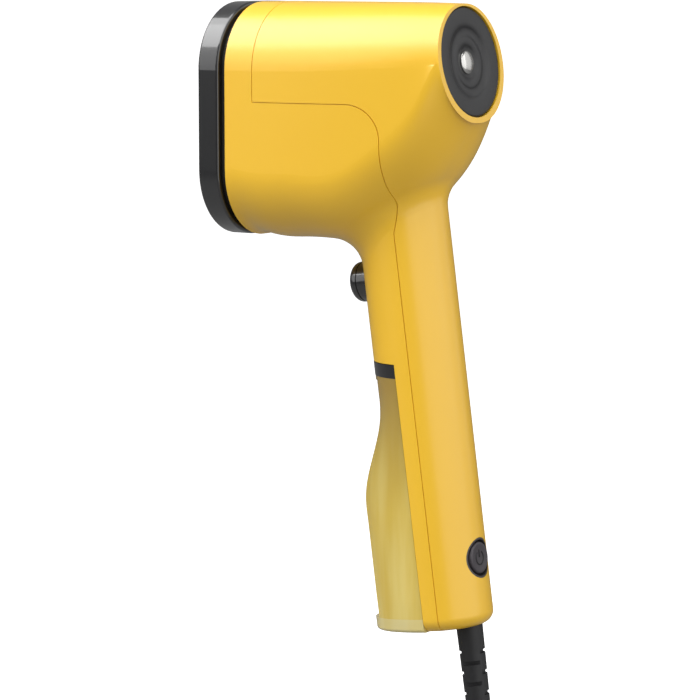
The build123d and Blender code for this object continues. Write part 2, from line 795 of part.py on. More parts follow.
def build_board():
    board = block((board_u, board_u + board_thick), (-board_half, board_half), (board_low, board_high))
    screws = []
    for v, w in board_post_places():
        board = board - Pos(0, v, w) * rod_x(case_screw_r + screw_gap, -far, far)
        shank = rod_x(case_screw_r - 0.25, board_u - 2.0, board_u + board_thick)
        head = rod_x(2.1, board_u + board_thick, board_u + board_thick + 1.2)
        screws.append(on_handle(Pos(0, v, w) * (shank + head)))
    pieces["control_board"] = on_handle(board)
    pieces["board_screws"] = Compound(screws + list(pieces.pop("bracket_screws").solids()))
    top = board_u + board_thick
    relay = block((top, top + 8.0), (-7.5, 7.5), (-62.0, -52.0))
    capacitor = Pos(0, -3.2, -69.0) * rod_x(3.6, top, top + 9.0)
    driver = block((top, top + 4.0), (2.0, 7.0), (-73.0, -65.5))
    group = [on_handle(relay), on_handle(capacitor), on_handle(driver)]
    pieces["board_components"] = Compound(group)


def build_cord_entry():
    axis = Pos(relief_u, 0, 0)
    root = handle_bottom
    tip = root - relief_length
    inner_top = root + wall + relief_flange
    boot = Pos(0, 0, (root + tip) / 2) * Cone(relief_tip_r, relief_root_r, relief_length)
    boot = boot + rod(relief_root_r - 0.1, root - 0.1, root + wall + 0.1)
    flange = handle_plane.location.inverse() * handle_solid(wall)
    boot = boot + (rod(relief_flange_r, root + wall, inner_top) & (axis.inverse() * flange))
    count = int((relief_length - relief_smooth) / relief_pitch)
    for number in range(count):
        w = root - relief_smooth - relief_pitch * (number + 0.5)
        for side in (-1, 1):
            slot = block((cord_r + 0.5, 20), (-20, 20), (w - relief_slot / 2, w + relief_slot / 2))
            if number % 2:
                slot = Rot(0, 0, 90) * slot
            if side < 0:
                slot = Rot(0, 0, 180) * slot
            boot = boot - Rot(0, 0, relief_turn) * slot
    boot = boot - rod(cord_r, tip - 1, inner_top + 1)
    pieces["strain_relief"] = on_handle(axis * boot)

    block_low = -97.0
    inner_end = axis * rod(cord_r, tip, block_low)
    pieces["inner_cord_end"] = on_handle(inner_end)
    terminal = block((5.6, 13.0), (-7.0, 7.0), (block_low, block_low + 6.5))
    pieces["terminal_block"] = on_handle(terminal)
    clamp_w = (inner_top + block_low) / 2
    clamp_back = relief_u + cord_r + 0.6
    clamp = block((relief_u - cord_r - 1.6, clamp_back), (-6.6, 6.6), (clamp_w - 2.4, clamp_w + 2.4))
    clamp = clamp - axis * rod(cord_r, -far, far)
    screws = []
    for v in (-4.9, 4.9):
        hole = Pos(0, v, clamp_w) * rod_x(0.9, relief_u - cord_r - 1.0, far)
        clamp = clamp - hole
        shank = rod_x(0.9, relief_u - cord_r - 1.0, clamp_back)
        head = rod_x(1.5, clamp_back, clamp_back + 0.9)
        screws.append(on_handle(Pos(0, v, clamp_w) * (shank + head)))
    pieces["cord_clamp"] = on_handle(clamp)
    pieces["clamp_screws"] = Compound(screws)


def build_wiring():
    group = []
    for lane in (0, 1):
        points = [
            tuple(handle_point(9.4, -3.8 - 2.2 * lane, -90.3)),
            tuple(handle_point(9.4, -4.2 - 2.2 * lane, -88.0)),
            tuple(handle_point(10.0, -8.6 - 2.2 * lane, -83.0)),
            tuple(handle_point(10.0, -8.7 - 2.2 * lane, -6.0)),
            tuple(handle_point(10.2, -1.4 - 2.6 * lane, 14.0)),
            tuple(handle_point(10.0, -1.6 - 2.6 * lane, 47.0)),
            (-14.0, -6.0 - 4.0 * lane, 80.0),
            (-36.0, -12.0 - 5.0 * lane, 84.0),
        ]
        group.append(tube(points, [1.5, 5.0, 12.0, 12.0, 12.0, 12.0], wire_r))
    pieces["wiring"] = Compound(group)


# mains cord

def cord_points():
    """The free stretch, from the strain relief's tip down to the put-away hank."""
    start = handle_point(relief_u, 0, handle_bottom - relief_length)
    return [
        tuple(start),
        tuple(handle_point(relief_u, 0, handle_bottom - relief_length - 17.0)),
        (37.0, -4.0, -187.5),
        (39.6, -11.0, hank_top),
    ]


def build_cord():
    points = cord_points()
    radii = []
    for before, corner, after in zip(points, points[1:], points[2:]):
        first = Vector(corner) - Vector(before)
        second = Vector(after) - Vector(corner)
        turn = math.radians(first.get_angle(second))
        radii.append(0.45 * min(first.length, second.length) / math.tan(turn / 2))
    print("cord radii", [round(r, 1) for r in radii], "smallest allowed", round(10 * cord_r, 1))
    path = FilletPolyline(*points, radius=radii)
    cord = sweep(Plane(path @ 0, z_dir=path % 0) * Circle(cord_r), path=path)
    expected = math.pi * cord_r ** 2 * path.length
    print("cord volume", round(cord.volume, 1), "section times length", round(expected, 1))
    low = hank_top - hank_length
    hank = plate_x(hank_width, hank_length, hank_width / 2 - 0.5,
                   hank_x - hank_thick / 2, hank_x + hank_thick / 2, (hank_top + low) / 2)
    hank = fillet(hank.edges().filter_by(Plane.YZ), 5.0)
    cord = cord - hank
    pieces["power_cord"] = cord
    middle = (hank_top + low) / 2
    outer = block((hank_x - hank_thick / 2 - tie_thick, hank_x + hank_thick / 2 + tie_thick),
                  (-hank_width / 2 - tie_thick, hank_width / 2 + tie_thick),
                  (middle - tie_width / 2, middle + tie_width / 2))
    outer = fillet(outer.edges().filter_by(Axis.Z), 5.0)
    pieces["cord_tie"] = outer - hank
    pieces["cord_hank"] = hank

    back = hank_x + hank_thick / 2
    body_top = plug_top - plug_gland
    plug = block((back, back + plug_thick), (-plug_width / 2, plug_width / 2),
                 (body_top - plug_body, body_top))
    plug = fillet(plug.edges().filter_by(Axis.Z), 5.0)
    gland = Cone(plug_gland_r + 1.5, plug_gland_r - 0.6, plug_gland)
    gland = Pos(back + plug_thick / 2, 0, body_top + plug_gland / 2) * gland
    pieces["mains_plug"] = plug + gland
    pins = []
    for side in (-1, 1):
        pin = block((back + plug_thick / 2 - pin_width / 2, back + plug_thick / 2 + pin_width / 2),
                    (side * pin_pitch / 2 - pin_thick / 2, side * pin_pitch / 2 + pin_thick / 2),
                    (body_top - plug_body - pin_length, body_top - plug_body))
        pins.append(pin)
    pieces["plug_pins"] = Compound(pins)


build_casing()
build_case_screws()
build_rear_cap()
build_steam_face()
build_chamber()
build_chamber_fittings()
build_pump()
build_hoses()
build_trigger()
build_tank()
build_power_button()
build_board()
build_cord_entry()
build_wiring()
build_cord()

os.makedirs("parts", exist_ok=True)
for name, solid in pieces.items():
    export_step(solid, f"parts/{name}.step")
print(len(pieces), "pieces written")
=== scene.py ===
import bpy
import json
import math
from mathutils import Matrix, Vector


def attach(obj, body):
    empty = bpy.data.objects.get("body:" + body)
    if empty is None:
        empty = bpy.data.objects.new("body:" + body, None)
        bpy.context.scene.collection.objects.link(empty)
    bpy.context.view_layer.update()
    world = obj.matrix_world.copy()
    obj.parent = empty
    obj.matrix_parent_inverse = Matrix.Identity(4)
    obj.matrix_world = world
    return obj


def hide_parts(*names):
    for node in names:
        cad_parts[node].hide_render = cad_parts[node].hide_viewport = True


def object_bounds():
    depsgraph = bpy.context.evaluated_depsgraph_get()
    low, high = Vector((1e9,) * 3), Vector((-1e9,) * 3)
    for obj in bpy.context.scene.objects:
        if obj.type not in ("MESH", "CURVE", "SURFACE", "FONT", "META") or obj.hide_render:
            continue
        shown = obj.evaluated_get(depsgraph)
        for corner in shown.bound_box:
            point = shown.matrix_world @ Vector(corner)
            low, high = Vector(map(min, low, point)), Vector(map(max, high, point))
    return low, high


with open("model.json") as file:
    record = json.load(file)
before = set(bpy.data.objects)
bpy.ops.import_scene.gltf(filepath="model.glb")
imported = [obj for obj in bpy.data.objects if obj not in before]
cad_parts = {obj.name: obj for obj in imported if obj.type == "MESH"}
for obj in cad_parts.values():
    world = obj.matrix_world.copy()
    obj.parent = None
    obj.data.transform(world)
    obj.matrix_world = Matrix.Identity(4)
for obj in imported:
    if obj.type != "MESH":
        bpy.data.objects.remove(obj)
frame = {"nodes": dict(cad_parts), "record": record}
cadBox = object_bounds()
print("frame loaded:", len(frame["nodes"]), "nodes")

mm = 0.001
handle = {"tilt": 7.8, "bottom": -109.0 * mm}
tilt = math.radians(handle["tilt"])
handleMatrix = Matrix.Rotation(-tilt, 4, "Y")  # the handle's u, v, w axes in the part's frame


def handlePoint(u, v, w):
    return handleMatrix @ Vector((u, v, w))


# camera, level with the head and looking along its side from behind
cameraView = {"azimuth": 33.0, "elevation": 7.5, "distance": 1.2, "lens": 152.2, "target": (-0.0329, 0, 0)}


def addCamera():
    azimuth = math.radians(cameraView["azimuth"])
    elevation = math.radians(cameraView["elevation"])
    back = Vector((math.sin(azimuth) * math.cos(elevation), -math.cos(azimuth) * math.cos(elevation),
                   math.sin(elevation)))
    data = bpy.data.cameras.new("camera")
    data.lens = cameraView["lens"]
    camera = bpy.data.objects.new("camera", data)
    bpy.context.collection.objects.link(camera)
    camera.location = Vector(cameraView["target"]) + back * cameraView["distance"]
    camera.rotation_mode = "QUATERNION"
    camera.rotation_quaternion = (-back).to_track_quat("-Z", "Y")
    bpy.context.scene.camera = camera


# mains cord: a straight drop out of the strain relief, then a hank held by its tie
cord = {
    "diameter": 6.5 * mm,
    "length": 2.2,
    "reliefOffset": 9.3 * mm,
    "reliefLength": 48.0 * mm,
    "drop": 17.0 * mm,
    "hankCentre": Vector((40.5, 0, -284.0)) * mm,
    "hankHalf": 76.6 * mm,
    "foldOuter": 26.0 * mm,
    "foldInner": 19.5 * mm,
    "foldEase": 0.925,  # the curve cuts inside its points by this much round a fold
    "layer": 6.6 * mm,
    "pinch": 2.0 * mm,
    "leadIn": 14.0 * mm,
}


def cordRoute():
    tip = handlePoint(cord["reliefOffset"], 0, handle["bottom"] - cord["reliefLength"])
    below = handlePoint(cord["reliefOffset"], 0, handle["bottom"] - cord["reliefLength"] - cord["drop"])
    return [tip, below] + [Vector(p) * mm for p in (
        (37.6, -4.0, -188.5),
        (38.6, -11.0, -205.0),
        (37.4, -18.6, -222.0),
        (35.4, -23.6, -241.0),
        (34.2, -25.2, -262.0),
    )]


def hankPoints():
    # sixteen points a turn: five down each run and three round each fold
    turns = ((0, -1), (1, -1), (1, 0), (0, 0), (0, 1), (1, 1))
    straight = cord["hankHalf"] - cord["foldOuter"]
    leadIn = straight - cord["leadIn"]
    points = []
    for number, (inner, layer) in enumerate(turns):
        width = cord["foldInner"] if inner else cord["foldOuter"]
        depth = layer * cord["layer"]
        after = turns[min(number + 1, len(turns) - 1)]
        nextWidth = cord["foldInner"] if after[0] else cord["foldOuter"]
        nextDepth = after[1] * cord["layer"]
        around = width / cord["foldEase"]
        if number:
            points.append((depth, -width, straight))
            points.append((depth, -width, leadIn))
        points.append((depth, -width + cord["pinch"], 0))
        points.append((depth, -width, -leadIn))
        points.append((depth, -width, -straight))
        for angle in (225, 270, 315):
            turn = math.radians(angle)
            points.append((depth, around * math.cos(turn), -straight + around * math.sin(turn)))
        points.append((depth, width, -straight))
        points.append((depth, width, -leadIn))
        points.append((depth, width - cord["pinch"], 0))
        points.append((depth, width, leadIn))
        points.append((depth, width, straight))
        if number == len(turns) - 1:
            break
        for step, angle in enumerate((45, 90, 135)):
            share = (step + 0.5) / 3
            turn = math.radians(angle)
            reach = (width * (1 - share) + nextWidth * share) / cord["foldEase"]
            points.append((depth * (1 - share) + nextDepth * share, reach * math.cos(turn),
                           straight + reach * math.sin(turn)))
    return [cord["hankCentre"] + Vector(p) for p in points]


def plugLead():
    # over the top of the hank in one open fold, then down its face to the plug
    return [Vector(p) * mm for p in (
        (48.0, 17.2, -219.5),
        (49.9, 5.4, -210.6),
        (52.5, -9.8, -210.6),
        (55.0, -21.4, -219.5),
        (57.0, -25.4, -233.4),
        (58.2, -22.4, -248.5),
        (58.3, -13.5, -262.0),
        (58.1, -4.6, -272.5),
        (58.0, -0.6, -282.0),
        (58.0, 0.0, -292.0),
    )]


def addCord(material, plug, tie):
    points = cordRoute() + hankPoints() + plugLead()
    curve = bpy.data.curves.new("mains_flex", "CURVE")
    curve.dimensions = "3D"
    curve.bevel_depth = cord["diameter"] / 2
    curve.bevel_resolution = 5
    curve.resolution_u = 6
    curve.use_fill_caps = True
    spline = curve.splines.new("NURBS")
    spline.points.add(len(points) - 1)
    for point, place in zip(spline.points, points):
        point.co = (*place, 1)
    spline.order_u = 3
    spline.use_endpoint_u = True
    flex = bpy.data.objects.new("mains_flex", curve)
    bpy.context.collection.objects.link(flex)
    flex.data.materials.append(material)
    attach(flex, "casing")
    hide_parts("power_cord", "cord_hank")
    return flex


# shader groups, each built once and placed in the materials with its own values

def newGroup(name, inputs, outputs):
    group = bpy.data.node_groups.new(name, "ShaderNodeTree")
    for label, kind, value in inputs:
        socket = group.interface.new_socket(label, in_out="INPUT", socket_type=kind)
        socket.default_value = value
    for label, kind in outputs:
        group.interface.new_socket(label, in_out="OUTPUT", socket_type=kind)
    start = group.nodes.new("NodeGroupInput")
    end = group.nodes.new("NodeGroupOutput")
    return group, start, end


def noiseNode(tree, scale, detail, vector):
    noise = tree.nodes.new("ShaderNodeTexNoise")
    noise.inputs["Detail"].default_value = detail
    if isinstance(scale, float):
        noise.inputs["Scale"].default_value = scale
    else:
        tree.links.new(scale, noise.inputs["Scale"])
    tree.links.new(vector, noise.inputs["Vector"])
    return noise


def mathNode(tree, operation, first, second, third=None):
    node = tree.nodes.new("ShaderNodeMath")
    node.operation = operation
    for socket, value in zip(node.inputs, (first, second, third)):
        if value is None:
            continue
        if isinstance(value, (int, float)):
            socket.default_value = value
        else:
            tree.links.new(value, socket)
    return node


def mouldedSurfaceGroup():
    group, start, end = newGroup("moulded surface", [
        ("Colour", "NodeSocketColor", (0.8, 0.8, 0.8, 1)),
        ("Shade Colour", "NodeSocketColor", (0.6, 0.6, 0.6, 1)),
        ("Grain Scale", "NodeSocketFloat", 2500.0),
        ("Roughness", "NodeSocketFloat", 0.3),
        ("Roughness Spread", "NodeSocketFloat", 0.06),
        ("Grain Height", "NodeSocketFloat", 0.5),
    ], [("Colour", "NodeSocketColor"), ("Roughness", "NodeSocketFloat"), ("Height", "NodeSocketFloat")])
    place = group.nodes.new("ShaderNodeTexCoord").outputs["Object"]
    grain = noiseNode(group, start.outputs["Grain Scale"], 3.0, place)
    flow = noiseNode(group, 22.0, 4.0, place)
    smudge = noiseNode(group, 130.0, 5.0, place)
    tone = mathNode(group, "MULTIPLY_ADD", flow.outputs["Fac"], 0.8, -0.22)
    mix = group.nodes.new("ShaderNodeMix")
    mix.data_type = "RGBA"
    group.links.new(tone.outputs[0], mix.inputs["Factor"])
    group.links.new(start.outputs["Colour"], mix.inputs["A"])
    group.links.new(start.outputs["Shade Colour"], mix.inputs["B"])
    group.links.new(mix.outputs["Result"], end.inputs["Colour"])
    spread = mathNode(group, "SUBTRACT", smudge.outputs["Fac"], 0.5)
    scaled = mathNode(group, "MULTIPLY_ADD", spread.outputs[0], start.outputs["Roughness Spread"],
                      start.outputs["Roughness"])
    group.links.new(scaled.outputs[0], end.inputs["Roughness"])
    height = mathNode(group, "MULTIPLY", grain.outputs["Fac"], start.outputs["Grain Height"])
    group.links.new(height.outputs[0], end.inputs["Height"])
    return group


def brushedMetalGroup():
    group, start, end = newGroup("brushed metal", [
        ("Colour", "NodeSocketColor", (0.7, 0.7, 0.7, 1)),
        ("Dark Colour", "NodeSocketColor", (0.5, 0.5, 0.5, 1)),
        ("Roughness", "NodeSocketFloat", 0.3),
        ("Line Scale", "NodeSocketFloat", 900.0),
    ], [("Colour", "NodeSocketColor"), ("Roughness", "NodeSocketFloat"), ("Height", "NodeSocketFloat")])
    place = group.nodes.new("ShaderNodeTexCoord").outputs["Object"]
    stretch = group.nodes.new("ShaderNodeMapping")
    stretch.inputs["Scale"].default_value = (1, 1, 0.03)
    group.links.new(place, stretch.inputs["Vector"])
    lines = noiseNode(group, start.outputs["Line Scale"], 2.0, stretch.outputs["Vector"])
    cloud = noiseNode(group, 60.0, 3.0, place)
    mix = group.nodes.new("ShaderNodeMix")
    mix.data_type = "RGBA"
    group.links.new(lines.outputs["Fac"], mix.inputs["Factor"])
    group.links.new(start.outputs["Colour"], mix.inputs["A"])
    group.links.new(start.outputs["Dark Colour"], mix.inputs["B"])
    group.links.new(mix.outputs["Result"], end.inputs["Colour"])
    blend = mathNode(group, "MULTIPLY_ADD", cloud.outputs["Fac"], 0.12, start.outputs["Roughness"])
    group.links.new(blend.outputs[0], end.inputs["Roughness"])
    group.links.new(lines.outputs["Fac"], end.inputs["Height"])
    return group


groups = {"moulded": mouldedSurfaceGroup(), "brushed": brushedMetalGroup()}

# finishes: colours are linear; grain is in ripples a metre, bump in metres
finishes = {
    "yellow_shell": {"colour": (0.88, 0.52, 0.020), "shade": (0.85, 0.475, 0.014), "roughness": 0.42,
                     "spread": 0.05, "grain": 3200.0, "height": 0.5, "bump": 0.00001,
                     "coat": 0.8, "coatRoughness": 0.26, "coatIor": 1.5},
    "black_gloss": {"colour": (0.008, 0.008, 0.009), "shade": (0.006, 0.006, 0.007), "roughness": 0.3,
                    "spread": 0.06, "grain": 3000.0, "height": 0.5, "bump": 0.000008,
                    "coat": 1.0, "coatRoughness": 0.08, "coatIor": 1.6},
    "dark_satin": {"colour": (0.014, 0.014, 0.015), "shade": (0.010, 0.010, 0.011), "roughness": 0.40,
                   "spread": 0.08, "grain": 4000.0, "height": 0.7, "bump": 0.00002, "coat": 0.1,
                   "coatRoughness": 0.25},
    "dark_recess": {"colour": (0.013, 0.013, 0.013), "shade": (0.009, 0.009, 0.009), "roughness": 0.6,
                    "spread": 0.1, "grain": 3500.0, "height": 0.8, "bump": 0.00003},
    "button_grey": {"colour": (0.052, 0.045, 0.052), "shade": (0.042, 0.037, 0.042), "roughness": 0.4,
                    "spread": 0.08, "grain": 4200.0, "height": 0.7, "bump": 0.00002},
    "well_grey": {"colour": (0.05, 0.045, 0.045), "shade": (0.035, 0.03, 0.03), "roughness": 0.42,
                  "spread": 0.08, "grain": 4200.0, "height": 0.6, "bump": 0.00002},
    "boot_rubber": {"colour": (0.010, 0.010, 0.011), "shade": (0.007, 0.007, 0.008), "roughness": 0.52,
                    "spread": 0.12, "grain": 3800.0, "height": 0.9, "bump": 0.00004},
    "cord_jacket": {"colour": (0.012, 0.012, 0.013), "shade": (0.009, 0.009, 0.010), "roughness": 0.46,
                    "spread": 0.12, "grain": 2600.0, "height": 0.9, "bump": 0.00003},
    "plug_black": {"colour": (0.022, 0.022, 0.024), "shade": (0.016, 0.016, 0.018), "roughness": 0.45,
                   "spread": 0.1, "grain": 3600.0, "height": 0.9, "bump": 0.00004},
    "tie_black": {"colour": (0.018, 0.018, 0.020), "shade": (0.011, 0.011, 0.012), "roughness": 0.75,
                  "spread": 0.1, "grain": 1900.0, "height": 1.0, "bump": 0.00018},
    "silicone": {"colour": (0.70, 0.70, 0.66), "shade": (0.62, 0.62, 0.58), "roughness": 0.45,
                 "spread": 0.1, "grain": 2600.0, "height": 0.5, "bump": 0.00002},
    "white_plastic": {"colour": (0.74, 0.74, 0.70), "shade": (0.68, 0.68, 0.64), "roughness": 0.45,
                      "spread": 0.08, "grain": 3600.0, "height": 0.6, "bump": 0.00002},
    "circuit_green": {"colour": (0.012, 0.105, 0.034), "shade": (0.02, 0.16, 0.05), "roughness": 0.35,
                      "spread": 0.1, "grain": 900.0, "height": 0.6, "bump": 0.00002},
    "component_dark": {"colour": (0.021, 0.021, 0.024), "shade": (0.03, 0.03, 0.034), "roughness": 0.5,
                       "spread": 0.1, "grain": 3600.0, "height": 0.7, "bump": 0.00002},
    "switch_body": {"colour": (0.014, 0.014, 0.017), "shade": (0.02, 0.02, 0.023), "roughness": 0.48,
                    "spread": 0.1, "grain": 3600.0, "height": 0.7, "bump": 0.00002},
    "wire_red": {"colour": (0.33, 0.022, 0.016), "shade": (0.26, 0.016, 0.012), "roughness": 0.42,
                 "spread": 0.1, "grain": 2600.0, "height": 0.6, "bump": 0.00002},
    "seal_red": {"colour": (0.38, 0.05, 0.023), "shade": (0.32, 0.04, 0.018), "roughness": 0.55,
                 "spread": 0.1, "grain": 2600.0, "height": 0.7, "bump": 0.00002},
}
metals = {
    "bright_metal": {"colour": (0.66, 0.65, 0.63), "dark": (0.56, 0.55, 0.53), "roughness": 0.17,
                     "lines": 500.0, "bump": 0.000004},
    "steam_plate": {"colour": (0.60, 0.60, 0.61), "dark": (0.47, 0.47, 0.48), "roughness": 0.24,
                    "lines": 900.0, "bump": 0.00001},
    "cast_alloy": {"colour": (0.42, 0.43, 0.44), "dark": (0.33, 0.34, 0.35), "roughness": 0.48,
                   "lines": 300.0, "bump": 0.00012},
    "heater_steel": {"colour": (0.26, 0.22, 0.19), "dark": (0.17, 0.15, 0.16), "roughness": 0.36,
                     "lines": 400.0, "bump": 0.00002},
    "copper": {"colour": (0.52, 0.18, 0.065), "dark": (0.40, 0.12, 0.04), "roughness": 0.3,
               "lines": 2200.0, "bump": 0.0001},
    "brass": {"colour": (0.60, 0.40, 0.13), "dark": (0.50, 0.33, 0.10), "roughness": 0.26,
              "lines": 700.0, "bump": 0.00001},
    "steel_zinc": {"colour": (0.50, 0.51, 0.53), "dark": (0.40, 0.41, 0.43), "roughness": 0.3,
                   "lines": 700.0, "bump": 0.00001},
}


def startMaterial(name, group):
    material = bpy.data.materials.new(name)
    material.use_nodes = True
    tree = material.node_tree
    shader = tree.nodes["Principled BSDF"]
    node = tree.nodes.new("ShaderNodeGroup")
    node.node_tree = group
    bump = tree.nodes.new("ShaderNodeBump")
    tree.links.new(node.outputs["Colour"], shader.inputs["Base Color"])
    tree.links.new(node.outputs["Roughness"], shader.inputs["Roughness"])
    tree.links.new(node.outputs["Height"], bump.inputs["Height"])
    tree.links.new(bump.outputs["Normal"], shader.inputs["Normal"])
    return material, shader, node, bump


def mouldedMaterial(name, look):
    material, shader, node, bump = startMaterial(name, groups["moulded"])
    node.inputs["Colour"].default_value = (*look["colour"], 1)
    node.inputs["Shade Colour"].default_value = (*look["shade"], 1)
    node.inputs["Grain Scale"].default_value = look["grain"]
    node.inputs["Roughness"].default_value = look["roughness"]
    node.inputs["Roughness Spread"].default_value = look["spread"]
    node.inputs["Grain Height"].default_value = look["height"]
    bump.inputs["Distance"].default_value = look["bump"]
    shader.inputs["IOR"].default_value = 1.5
    shader.inputs["Coat Weight"].default_value = look.get("coat", 0.0)
    shader.inputs["Coat Roughness"].default_value = look.get("coatRoughness", 0.1)
    shader.inputs["Coat IOR"].default_value = look.get("coatIor", 1.5)
    return material


def metalMaterial(name, look):
    material, shader, node, bump = startMaterial(name, groups["brushed"])
    node.inputs["Colour"].default_value = (*look["colour"], 1)
    node.inputs["Dark Colour"].default_value = (*look["dark"], 1)
    node.inputs["Roughness"].default_value = look["roughness"]
    node.inputs["Line Scale"].default_value = look["lines"]
    bump.inputs["Distance"].default_value = look["bump"]
    shader.inputs["Metallic"].default_value = 1.0
    return material


def streakedResinGroup():
    # cloudy clear plastic: long soft streaks up the wall, and painted shade that darkens it towards its neck
    # under the head
    group, start, end = newGroup("streaked resin", [
        ("Colour", "NodeSocketColor", (0.8, 0.6, 0.2, 1)),
        ("Pale Colour", "NodeSocketColor", (0.9, 0.8, 0.5, 1)),
        ("Neck Painted Shade", "NodeSocketColor", (0.5, 0.35, 0.12, 1)),
        ("Roughness", "NodeSocketFloat", 0.2),
    ], [("Colour", "NodeSocketColor"), ("Roughness", "NodeSocketFloat"), ("Height", "NodeSocketFloat")])
    place = group.nodes.new("ShaderNodeTexCoord").outputs["Object"]
    stretch = group.nodes.new("ShaderNodeMapping")
    stretch.inputs["Rotation"].default_value = (0, tilt, 0)
    stretch.inputs["Scale"].default_value = (1, 1, 0.12)
    group.links.new(place, stretch.inputs["Vector"])
    streaks = noiseNode(group, 95.0, 3.0, stretch.outputs["Vector"])
    cloud = noiseNode(group, 30.0, 3.0, place)
    paler = group.nodes.new("ShaderNodeMix")
    paler.data_type = "RGBA"
    contrast = mathNode(group, "MULTIPLY_ADD", streaks.outputs["Fac"], 2.6, -0.9)
    contrast.use_clamp = True
    group.links.new(contrast.outputs[0], paler.inputs["Factor"])
    group.links.new(start.outputs["Colour"], paler.inputs["A"])
    group.links.new(start.outputs["Pale Colour"], paler.inputs["B"])
    # painted shade: the colour darkens up the tank towards its neck, where it runs under the head
    split = group.nodes.new("ShaderNodeSeparateXYZ")
    group.links.new(place, split.inputs["Vector"])
    rise = group.nodes.new("ShaderNodeMapRange")
    rise.inputs["From Min"].default_value = -0.062
    rise.inputs["From Max"].default_value = -0.012
    group.links.new(split.outputs["Z"], rise.inputs["Value"])
    darker = group.nodes.new("ShaderNodeMix")
    darker.data_type = "RGBA"
    group.links.new(rise.outputs["Result"], darker.inputs["Factor"])
    group.links.new(paler.outputs["Result"], darker.inputs["A"])
    group.links.new(start.outputs["Neck Painted Shade"], darker.inputs["B"])
    group.links.new(darker.outputs["Result"], end.inputs["Colour"])
    blend = mathNode(group, "MULTIPLY_ADD", cloud.outputs["Fac"], 0.1, start.outputs["Roughness"])
    group.links.new(blend.outputs[0], end.inputs["Roughness"])
    group.links.new(streaks.outputs["Fac"], end.inputs["Height"])
    return group


groups["resin"] = streakedResinGroup()
resins = {
    # each neck colour is painted shade for the top of the tank under the head
    "amber_tank": {"colour": (0.84, 0.61, 0.10), "pale": (1.0, 0.83, 0.27), "neck": (0.50, 0.33, 0.07),
                   "roughness": 0.14, "clear": 0.30, "bump": 0.00006},
    "amber_base": {"colour": (0.95, 0.78, 0.28), "pale": (1.0, 0.88, 0.42), "neck": (0.8, 0.6, 0.3),
                   "roughness": 0.12, "clear": 0.35, "bump": 0.00003},
}


def resinMaterial(name, look):
    material, shader, node, bump = startMaterial(name, groups["resin"])
    node.inputs["Colour"].default_value = (*look["colour"], 1)
    node.inputs["Pale Colour"].default_value = (*look["pale"], 1)
    node.inputs["Neck Painted Shade"].default_value = (*look["neck"], 1)
    node.inputs["Roughness"].default_value = look["roughness"]
    bump.inputs["Distance"].default_value = look["bump"]
    shader.inputs["Transmission Weight"].default_value = look["clear"]
    shader.inputs["IOR"].default_value = 1.45
    shader.inputs["Coat Weight"].default_value = 0.8
    shader.inputs["Coat Roughness"].default_value = 0.06
    return material


materials = {name: mouldedMaterial(name, look) for name, look in finishes.items()}
materials.update({name: metalMaterial(name, look) for name, look in metals.items()})
materials.update({name: resinMaterial(name, look) for name, look in resins.items()})

# modelling helpers: a start shape is edited on its picked faces, then settled in its place

def clearSelection():
    for thing in list(bpy.context.selected_objects):
        thing.select_set(False)


def pickFaces(piece, test):
    bpy.ops.object.mode_set(mode="EDIT")
    bpy.ops.mesh.select_mode(type="FACE")
    bpy.ops.mesh.select_all(action="DESELECT")
    bpy.ops.object.mode_set(mode="OBJECT")
    for face in piece.data.polygons:
        face.select = test(face)
    bpy.ops.object.mode_set(mode="EDIT")


def turned(name, profile, sides=96):
    # profile is (radius, height) from the bottom up; each step extrudes the top face and scales it
    (radius, low), (_, high) = profile[:2]
    clearSelection()
    bpy.ops.mesh.primitive_cylinder_add(vertices=sides, radius=radius, depth=high - low,
                                        location=(0, 0, (low + high) / 2))
    piece = bpy.context.object
    piece.name = name
    bpy.ops.object.transform_apply()
    pickFaces(piece, lambda face: face.normal.z > 0.9)
    for wide, height in profile[2:]:
        bpy.ops.mesh.extrude_region_move(TRANSFORM_OT_translate={"value": (0, 0, height - high)})
        bpy.ops.transform.resize(value=(wide / radius, wide / radius, 1), center_override=(0, 0, height))
        radius, high = wide, height
    bpy.ops.object.mode_set(mode="OBJECT")
    return piece


def roundedRim(radius, top, rim, steps=6):
    # a quarter circle from the wall up to the top face
    turns = [math.pi / 2 * step / steps for step in range(steps + 1)]
    return [(radius - rim + rim * math.cos(turn), top - rim + rim * math.sin(turn)) for turn in turns]


def roundBlock(name, size, place, rim, segments=4):
    clearSelection()
    bpy.ops.mesh.primitive_cube_add(size=1, location=place, scale=size)
    piece = bpy.context.object
    piece.name = name
    bpy.ops.object.transform_apply()
    bpy.ops.object.mode_set(mode="EDIT")
    bpy.ops.mesh.select_all(action="SELECT")
    bpy.ops.mesh.bevel(offset=rim, segments=segments, affect="EDGES")
    bpy.ops.object.mode_set(mode="OBJECT")
    return piece


def joinPieces(pieces):
    clearSelection()
    for piece in pieces:
        piece.select_set(True)
    bpy.context.view_layer.objects.active = pieces[0]
    bpy.ops.object.join()
    return pieces[0]


def axesMatrix(right, up, out, place):
    matrix = Matrix((right, up, out)).transposed().to_4x4()
    matrix.translation = place
    return matrix


def settle(piece, place, material, body, standsFor=(), angle=35):
    clearSelection()
    piece.select_set(True)
    bpy.context.view_layer.objects.active = piece
    piece.matrix_world = place
    bpy.ops.object.transform_apply()
    bpy.ops.object.shade_smooth_by_angle(angle=math.radians(angle))
    piece.data.materials.clear()
    piece.data.materials.append(material)
    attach(piece, body)
    if standsFor:
        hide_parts(*standsFor)
    return piece


# plug: a rounded body with finger ribs, and a ribbed flexible neck
plug = {
    "centre": Vector((58.0, 0, -330.0)) * mm,
    "body": Vector((14.6, 25.6, 32.0)) * mm,
    "rim": 3.6 * mm,
    "ribs": 4,
    "ribPitch": 4.6 * mm,
    "ribSize": Vector((0.9, 17.0, 1.7)) * mm,
    "neckRoot": 6.5 * mm,
    "neckTip": 4.3 * mm,
    "neckLength": 22.0 * mm,
    "neckRibs": 5,
    "neckRib": 0.55 * mm,
}


